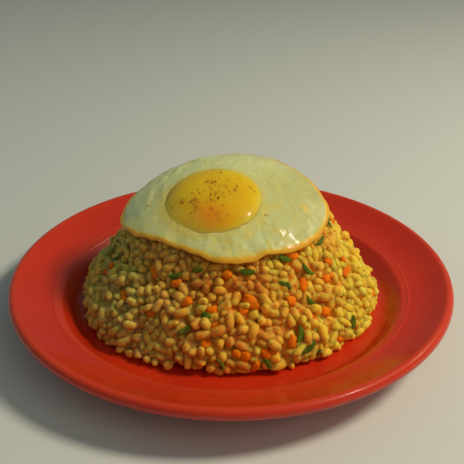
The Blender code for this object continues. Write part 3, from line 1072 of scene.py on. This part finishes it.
def whiteRelief(x, y, look):
    # folds, puckers and blisters over the smooth sheet, as heights
    rng = random.Random(5)
    cx, cy = eggShape["centre"]
    u, v = x - cx, y - cy
    lift = look["collar"] * bell(pastYolk(x, y), look["collarWidth"])
    for start, end, width, height in look["folds"]:
        lift = lift + fold(u, v, start, end, width * look["foldWidth"], height * look["foldHeight"])
    for bx, by, width, height in look["blisters"]:
        lift = lift + height * bell(np.hypot(u - bx, v - by), width)
    for _ in range(look["puckers"]):
        angle = rng.uniform(0, fullTurn)
        front = 0.5 - 0.5 * math.sin(angle)
        reach = float(eggReach(np.array(angle)))
        inner, outer = rng.uniform(*look["puckerFrom"]), rng.uniform(*look["puckerTo"])
        after = angle + rng.uniform(-look["puckerSwing"], look["puckerSwing"])
        start = (reach * inner * math.cos(angle), reach * inner * math.sin(angle))
        end = (reach * outer * math.cos(after), reach * outer * math.sin(after))
        width, side = rng.uniform(*look["puckerWidth"]), rng.choice((-1, 1, 1))
        height = side * rng.uniform(look["puckerLowest"], look["puckerBack"] + look["puckerFront"] * front)
        if yolkShare(cx + start[0], cy + start[1]) > look["yolkClear"]:
            lift = lift + fold(u, v, start, end, width, height)
    for _ in range(look["bubbles"]):
        angle, share = rng.gauss(*look["bubbleSide"]), rng.uniform(*look["bubbleOut"])
        reach = float(eggReach(np.array(angle))) * share
        width, height = rng.uniform(*look["bubbleWidth"]), rng.uniform(*look["bubbleHeight"])
        lift = lift + height * bell(np.hypot(u - reach * math.cos(angle), v - reach * math.sin(angle)), width)
    return lift


def roughness(x, y, size, seed):
    heights = [noise.noise((a / size, b / size, seed)) for a, b in zip(x.ravel(), y.ravel())]
    return np.array(heights).reshape(x.shape)


def whiteMaterial(look):
    material, tree, shader = startMaterial(
        "setWhite", Subsurface_Weight=0.7, Subsurface_Radius=(3.0, 2.4, 1.2), Subsurface_Scale=mm,
        IOR=1.38, Coat_Weight=0.4, Coat_Roughness=0.16)
    place = objectPlace(tree)
    fried = readAttribute(tree, "fried")
    colour = addPatches(tree, place, 60, (0.38, 0.68), look["white"], look["cream"], 4)
    mottle = addRange(tree, addNoise(tree, place, 190, 3, 0.6), 0.46, 0.68)
    colour = addMix(tree, multiply(tree, mottle, readAttribute(tree, "oily")), colour, look["oil"])
    # painted shade darkens the white's right side and painted light lightens its back; yolk colours it round
    # the yolk
    for name, tone in (("shadedRight", "shadedRight"), ("pale", "pale"), ("yolky", "yellow")):
        colour = addMix(tree, readAttribute(tree, name), colour, look[tone])
    # the thin left edge is painted grey-green, partly thin white over the rice and partly painted shade
    colour = addMix(tree, multiply(tree, readAttribute(tree, "thin"), 0.6), colour, look["thin"])
    # the margin goes yellow, gold and then brown toward its edge
    uneven = addRange(tree, addNoise(tree, place, 160, 4, 0.6), 0.3, 0.7, -0.12, 0.12)
    rim = addRamp(tree, add(tree, fried, uneven), (
        (0.3, look["yellow"]), (0.68, look["gold"]), (1.0, look["brown"])))
    paint(tree, shader, addMix(tree, addRange(tree, fried, 0.0, 0.45), colour, rim))
    addSheen(tree, shader, place, 180, 0.25, 0.42, 4)
    addBump(tree, shader, addNoise(tree, place, 500, 4, 0.6), 0.0005, 0.5)
    return material


def outlineSwing(angles):
    # small waves in the outline, so that no stretch of it is a clean curve
    return 1 + 0.005 * np.sin(9 * angles + 1) + 0.004 * np.sin(16 * angles + 2) + 0.0025 * np.sin(31 * angles)


def marginRuffle(angles, share):
    # the margin waves up and down, least at the back
    waves = 0.35 * np.sin(7 * angles + 0.6) + 0.30 * np.sin(13 * angles + 2.0) + 0.2 * np.sin(23 * angles)
    return ease(0.8, 1.0, share) * (1 - 0.7 * ease(0.1, 0.7, np.sin(angles))) * waves


def markWhite(mesh, points):
    # where the white is browned, thin, oily or coloured by the yolk, and where painted shade darkens its left
    # edge and right side and painted light lightens its back
    x, y = points[:, 0], points[:, 1]
    u, v = x - eggShape["centre"][0], y - eggShape["centre"][1]
    out, angle = eggShare(x, y), np.arctan2(v, u)
    back = np.sin(angle)
    # the browned margin is narrowest at the sides, and palest at the back, where it is widest
    band = 0.020 + 0.034 * ease(-0.2, 0.6, back) + 0.016 * bell(turnFrom(-fullTurn / 4, angle), 1.2)
    band = band + 0.008 * roughness(x, y, 7.0, 2.0)
    fried = np.clip((out - (1 - band * 1.9)) / (band * 1.5), 0, 1) ** 1.4
    addAttribute(mesh, "fried", fried * (1 - 0.3 * ease(0.0, 0.6, back)))
    # the thin left edge is partly painted shade
    thinLeft = ease(-30, -46, u) * ease(-12, 6, v)
    thinBack = 0.6 * ease(0.9, 1.0, out) * ease(10, 30, v) * ease(10, -20, u)
    addAttribute(mesh, "thin", np.clip(thinLeft + thinBack, 0, 1))
    oily = bell(np.hypot(u - 25, v + 22), 13) + 0.5 * bell(np.hypot(u - 30, v - 4), 12)
    addAttribute(mesh, "oily", np.clip(oily + 0.5 * ease(-20, -31, v) + 0.3, 0, 1))
    # painted shade: the right side is darker
    addAttribute(mesh, "shadedRight", 0.85 * ease(10, 50, u))
    # painted light: the back of the white is paler
    addAttribute(mesh, "pale", 0.8 * ease(2, 32, v) * ease(40, 20, u))
    # yolk shows through the white round its edge, and in one small spot
    over = filmShare(x, y)
    spotX, spotY, spotWidth = whiteLook["yolkSpot"]
    halo = (0.5 + 0.25 * over) * bell(pastYolk(x, y), 2.2 + 1.2 * over)
    addAttribute(mesh, "yolky", np.clip(halo + bell(np.hypot(u - spotX, v - spotY), spotWidth), 0, 1))


def buildWhite(look):
    e = eggShape
    cx, cy = e["centre"]
    angles = around(look["sides"])
    reach = eggReach(angles) * outlineSwing(angles)
    # rings from the middle out, crowded where the edge rounds over
    shares = np.concatenate([np.linspace(0, 0.975, look["rings"])[1:], 1 - np.array(look["edgeRings"])])
    x, y = cx + np.outer(shares, reach * np.cos(angles)), cy + np.outer(shares, reach * np.sin(angles))
    share = np.repeat(shares[:, None], look["sides"], axis=1)
    half = eggThickness(share) / 2
    inward = np.clip((1 - share) * reach / (half[-1] * 1.15), 0, 1)
    half = half * np.sqrt(1 - (1 - inward) ** 2)
    middle = eggTop(x, y) - eggThickness(share) / 2
    ruffle = marginRuffle(angles, share)
    relief = whiteRelief(x, y, look) + 0.35 * roughness(x, y, 9.0, 0.0) + 0.2 * roughness(x, y, 3.2, 4.0)
    relief = relief * inward ** 0.5 * (0.25 + 0.75 * ease(1.0, 0.965, share))
    upper = np.stack([x, y, middle + half + ruffle + relief], axis=2)
    lower = np.stack([x, y, middle - half + ruffle + 0.2 * roughness(x, y, 6.0, 9.0) * inward ** 0.5], axis=2)
    lower = lower[1 - len(shares) % 2::2]      # every other ring, with the outermost kept
    top = eggTop(cx, cy)
    rings = np.concatenate([lower, upper[::-1]])
    points, faces = closedRings(rings, (cx, cy, top - e["thickness"]), (cx, cy, top + 0.2))
    mesh = makeMesh("friedWhite", points, faces, whiteMaterial(look))
    markWhite(mesh, points)
    addPiece(mesh, "egg_white", "egg_white")
    print("egg white:", len(faces), "faces")


buildWhite(whiteLook)


# the yolk

yolkLook = {
    "yellow": (0.75, 0.48, 0.009), "amber": (0.75, 0.41, 0.008), "orange": (0.84, 0.24, 0.005),
    # the film colour is partly set white over the yolk and partly painted light on its shaded lower left; the
    # edge colour is painted light where the yolk meets the white
    "filmAndLight": (0.96, 0.46, 0.055), "edge": (0.94, 0.49, 0.08),
    "sink": 1.2,                        # how far its underside lies in the white
    "deepSpot": (-2.5, -15.5, 1.3, 7.0),       # an orange place at the front: x, y, stretch, width
}


def yolkTop(x, y):
    p = yolkShape
    over = filmShare(x, y)
    dome = 1 - np.clip(yolkShare(x, y), 0, 1) ** p["fullness"]
    return eggTop(x, y) + 0.1 + 0.2 * over + p["height"] * dome ** (p["softness"] + p["filmSoftness"] * over)


def yolkMaterial(look):
    material, tree, shader = startMaterial(
        "softYolk", Subsurface_Weight=1.0, Subsurface_Radius=(8.0, 4.5, 0.5), Subsurface_Scale=mm,
        Roughness=0.36, IOR=1.36, Specular_IOR_Level=0.3, Coat_Weight=0.35, Coat_Roughness=0.1)
    place = objectPlace(tree)
    colour = addPatches(tree, place, 70, (0.35, 0.7), look["yellow"], look["amber"])
    colour = addMix(tree, readAttribute(tree, "deep"), colour, look["orange"])
    # the film over the lower left edge is painted brighter than the yolk, partly set white and partly painted
    # light over its shade
    veil = addRange(tree, addNoise(tree, place, 130, 4), 0.2, 0.6, 0.75, 1.0)
    colour = addMix(tree, multiply(tree, readAttribute(tree, "filmAndLight"), veil), colour, look["filmAndLight"])
    # a lighter rim round the yolk's edge is painted light, over the shade where it meets the white
    paint(tree, shader, addMix(tree, readAttribute(tree, "edge"), colour, look["edge"]))
    addBump(tree, shader, addNoise(tree, place, 170), 0.0004, 0.35)
    return material


def buildYolk(p, look):
    cx, cy = p["centre"]
    angles = around(p["sides"])
    shares = np.sin(np.linspace(0, math.pi / 2, p["rings"] + 1)[1:])
    x = cx + p["radii"][0] * np.outer(shares, np.cos(angles) * yolkBulge(angles))
    y = cy + p["radii"][1] * np.outer(shares, np.sin(angles) * yolkBulge(angles))
    upper = np.stack([x, y, yolkTop(x, y)], axis=2)
    lower = np.stack([x, y, eggTop(x, y) - look["sink"]], axis=2)[::3]
    rings = np.concatenate([lower, upper[::-1]])
    points, faces = closedRings(rings, (cx, cy, eggTop(cx, cy) - look["sink"]), (cx, cy, yolkTop(cx, cy)))
    mesh = makeMesh("yolkDome", points, faces, yolkMaterial(look))
    x, y = points[:, 0], points[:, 1]
    share = yolkShare(x, y)
    filmAndLight = np.clip(ease(0.50, 1.0, share) * filmShare(x, y), 0, 1)
    spotX, spotY, stretch, width = look["deepSpot"]
    addAttribute(mesh, "filmAndLight", 0.8 * filmAndLight)
    # painted light round the yolk's foot
    addAttribute(mesh, "edge", 0.9 * ease(0.93, 1.0, share))
    addAttribute(mesh, "deep", bell(np.hypot((x - cx - spotX) / stretch, y - cy - spotY), width) * (1 - filmAndLight))
    addPiece(mesh, "egg_yolk", "egg_yolk")
    print("yolk:", len(faces), "faces")


buildYolk(yolkShape, yolkLook)


# ground pepper

pepperLook = {
    "seed": 12, "size": (0.17, 0.42), "stretch": (0.9, 2.0), "flat": 0.5,
    "red": (0.56, 0.18, 0.008), "dark": (0.30, 0.085, 0.006), "light": (0.66, 0.29, 0.012),
    # clusters on the yolk, in millimetres from its middle: x, y, spread, count
    "clusters": (
        (-1.5, 4.5, 2.8, 14), (-9.5, -5, 3.0, 18), (-7.5, -10.5, 2.4, 12), (0.5, -5.5, 3.4, 18),
        (8, -1, 4.5, 13), (5, -14, 3.6, 9), (-14, -5, 2.2, 5), (2, 2, 9, 26), (3, -8, 9, 14)),
    # single flakes on the yolk: x, y, size, stretch, turn
    "single": (
        (-18.6, -4.4, 0.6, 1.2, 20), (17.6, 2.1, 0.32, 3.6, -35), (19.4, 0.6, 0.3, 3.4, -40),
        (-6.3, -2.0, 0.4, 2.0, 40)),
    # flakes on the white, in millimetres from the egg's centre: x, y, size
    "onWhite": (
        (-35.8, -1.0, 0.45), (20.1, -15.9, 0.45), (-34.0, -2.0, 0.3), (23, 10, 0.25), (-9, 27, 0.3),
        (33, -14, 0.25)),
    "whiteStretch": 1.2, "whiteLift": 0.45, "yolkLift": 0.1,
}


def pepperMaterial(look):
    material, tree, shader = startMaterial("groundPepper", Roughness=0.6)
    tones = ((0.0, look["dark"]), (0.5, look["red"]), (1.0, look["light"]))
    paint(tree, shader, addRamp(tree, readAttribute(tree, "shade"), tones))
    return material


def flakeForm(tree, source, offset):
    # a flattened grain with uneven sides
    ball = addNode(tree, "GeometryNodeMeshIcoSphere", {"Subdivisions": 2})
    x, y, z = positionParts(tree)
    wave = addMath(tree, "SINE", add(tree, multiply(tree, x, 4), offset))
    uneven = add(tree, 1, multiply(tree, 0.3, wave))
    flat = multiply(tree, z, source.outputs["Flatness"])
    return moveTo(tree, ball.outputs["Mesh"], x, multiply(tree, y, uneven), flat)


def pepperTree():
    tree, source, end = newTree("pepperFlakes", Flatness=0.5)
    finishTree(tree, source, end, [flakeForm(tree, source, offset) for offset in (0.0, 2.3)])
    return tree


def pepperSpots(look):
    # every flake as x, y, size, stretch, turn, the surface it lies on, and its height over it
    rng = random.Random(look["seed"])
    flakes = []
    for cx, cy, spread, count in look["clusters"]:
        for _ in range(count):
            flakes.append((cx + rng.gauss(0, spread * 0.6), cy + rng.gauss(0, spread * 0.6),
                           rng.uniform(*look["size"]), rng.uniform(*look["stretch"]), rng.uniform(0, 180)))
    flakes += look["single"]
    cx, cy = yolkShape["centre"]
    spots = [(cx + x, cy + y, size, stretch, angle, yolkTop, look["yolkLift"])
             for x, y, size, stretch, angle in flakes if yolkShare(cx + x, cy + y) < 0.95]
    cx, cy = eggShape["centre"]
    spots += [(cx + x, cy + y, size, look["whiteStretch"], 30 * index, eggTop, look["whiteLift"])
              for index, (x, y, size) in enumerate(look["onWhite"])]
    return spots


def slopeOf(top, x, y, step=0.3):
    # the outward direction of a surface
    return Vector((float(top(x - step, y) - top(x + step, y)), float(top(x, y - step) - top(x, y + step)),
                   2 * step)).normalized()


def buildPepper(look):
    places, turns, sizes = [], [], []
    for x, y, size, stretch, angle, top, lift in pepperSpots(look):
        upright = Vector((0, 0, 1)).rotation_difference(slopeOf(top, x, y)).to_matrix()
        places.append((x, y, float(top(x, y)) + lift))
        turns.append((upright @ Matrix.Rotation(math.radians(angle), 3, "Z")).to_euler())
        sizes.append((size * stretch, size, size))
    scatter("groundPepper", pepperTree(), np.array(places), np.array(turns), np.array(sizes),
            np.arange(len(places)) % 2, "pepper",
            {"Flatness": look["flat"], "Seed": 8, "Material": pepperMaterial(look)})


buildPepper(pepperLook)


# floor, light and camera

studio = {
    "floor": (0.62, 0.605, 0.58), "floorSize": 4.0,
    "lights": (              # name, place, size, power, colour, rays it shows in
        ("keyLight", (0.71, -0.04, 0.82), 0.26, 9.2, (1.0, 0.95, 0.73), "diffuse"),
        ("sparkLight", (0.555, -0.12, 0.815), 0.10, 1.6, (1.0, 0.97, 0.85), "glossy"),
        ("edgeLight", (0.72, 0.35, 0.67), (0.40, 0.05), 0.7, (1.0, 0.88, 0.66), "glossy"),
        ("coolLight", (-0.95, 0.25, 0.55), 0.80, 0.72, (0.40, 0.92, 1.0), "diffuse"),
        ("fillLight", (0.60, -0.80, 0.75), 0.90, 1.95, (1.0, 0.93, 0.74), "diffuse")),
    "aim": (0, 0, 0.03),     # the place that every lamp points at
    "sky": (0.78, 0.92, 0.86), "skyStrength": 0.165,
    "camera": (0.526, -349.33, 228.85), "pitchDown": 27.93, "lens": 62.07,
}


def addSoftLight(name, place, size, power, colour, rays):
    light = bpy.data.lights.new(name, "AREA")
    light.shape = "DISK"
    if isinstance(size, tuple):         # a strip, wide and low
        light.shape = "RECTANGLE"
        size, light.size_y = size
    light.size = size
    light.energy = power
    light.color = colour
    lamp = bpy.data.objects.new(name, light)
    lamp.location = place
    lamp.rotation_euler = (Vector(studio["aim"]) - Vector(place)).to_track_quat("-Z", "Y").to_euler()
    lamp.visible_glossy = rays != "diffuse"
    lamp.visible_diffuse = rays != "glossy"
    scene.collection.objects.link(lamp)


def addFloor(s):
    material, _, shader = startMaterial("paleFloor", Roughness=0.7)
    shader.inputs["Base Color"].default_value = (*s["floor"], 1)
    half = s["floorSize"] / 2
    corners = [(-half, -half, 0), (half, -half, 0), (half, half, 0), (-half, half, 0)]
    mesh = bpy.data.meshes.new("floor")
    mesh.from_pydata(corners, [], [(0, 1, 2, 3)])
    mesh.materials.append(material)
    floor = bpy.data.objects.new("floor", mesh)
    scene.collection.objects.link(floor)


def addSky(s):
    world = bpy.data.worlds.new("softSky")
    world.use_nodes = True
    background = world.node_tree.nodes["Background"]
    background.inputs["Color"].default_value = (*s["sky"], 1)
    background.inputs["Strength"].default_value = s["skyStrength"]
    scene.world = world


def addCamera(s):
    lens = bpy.data.cameras.new("camera")
    lens.lens = s["lens"]
    lens.sensor_width = 36
    lens.clip_start, lens.clip_end = 0.01, 20
    camera = bpy.data.objects.new("camera", lens)
    camera.location = Vector(s["camera"]) * mm
    camera.rotation_euler = (math.radians(90 - s["pitchDown"]), 0, 0)
    scene.collection.objects.link(camera)
    scene.camera = camera


addFloor(studio)
for light in studio["lights"]:
    addSoftLight(*light)
addSky(studio)
addCamera(studio)
scene.view_settings.view_transform = "Standard"
print("studio: floor,", len(studio["lights"]), "lamps, sky and camera")
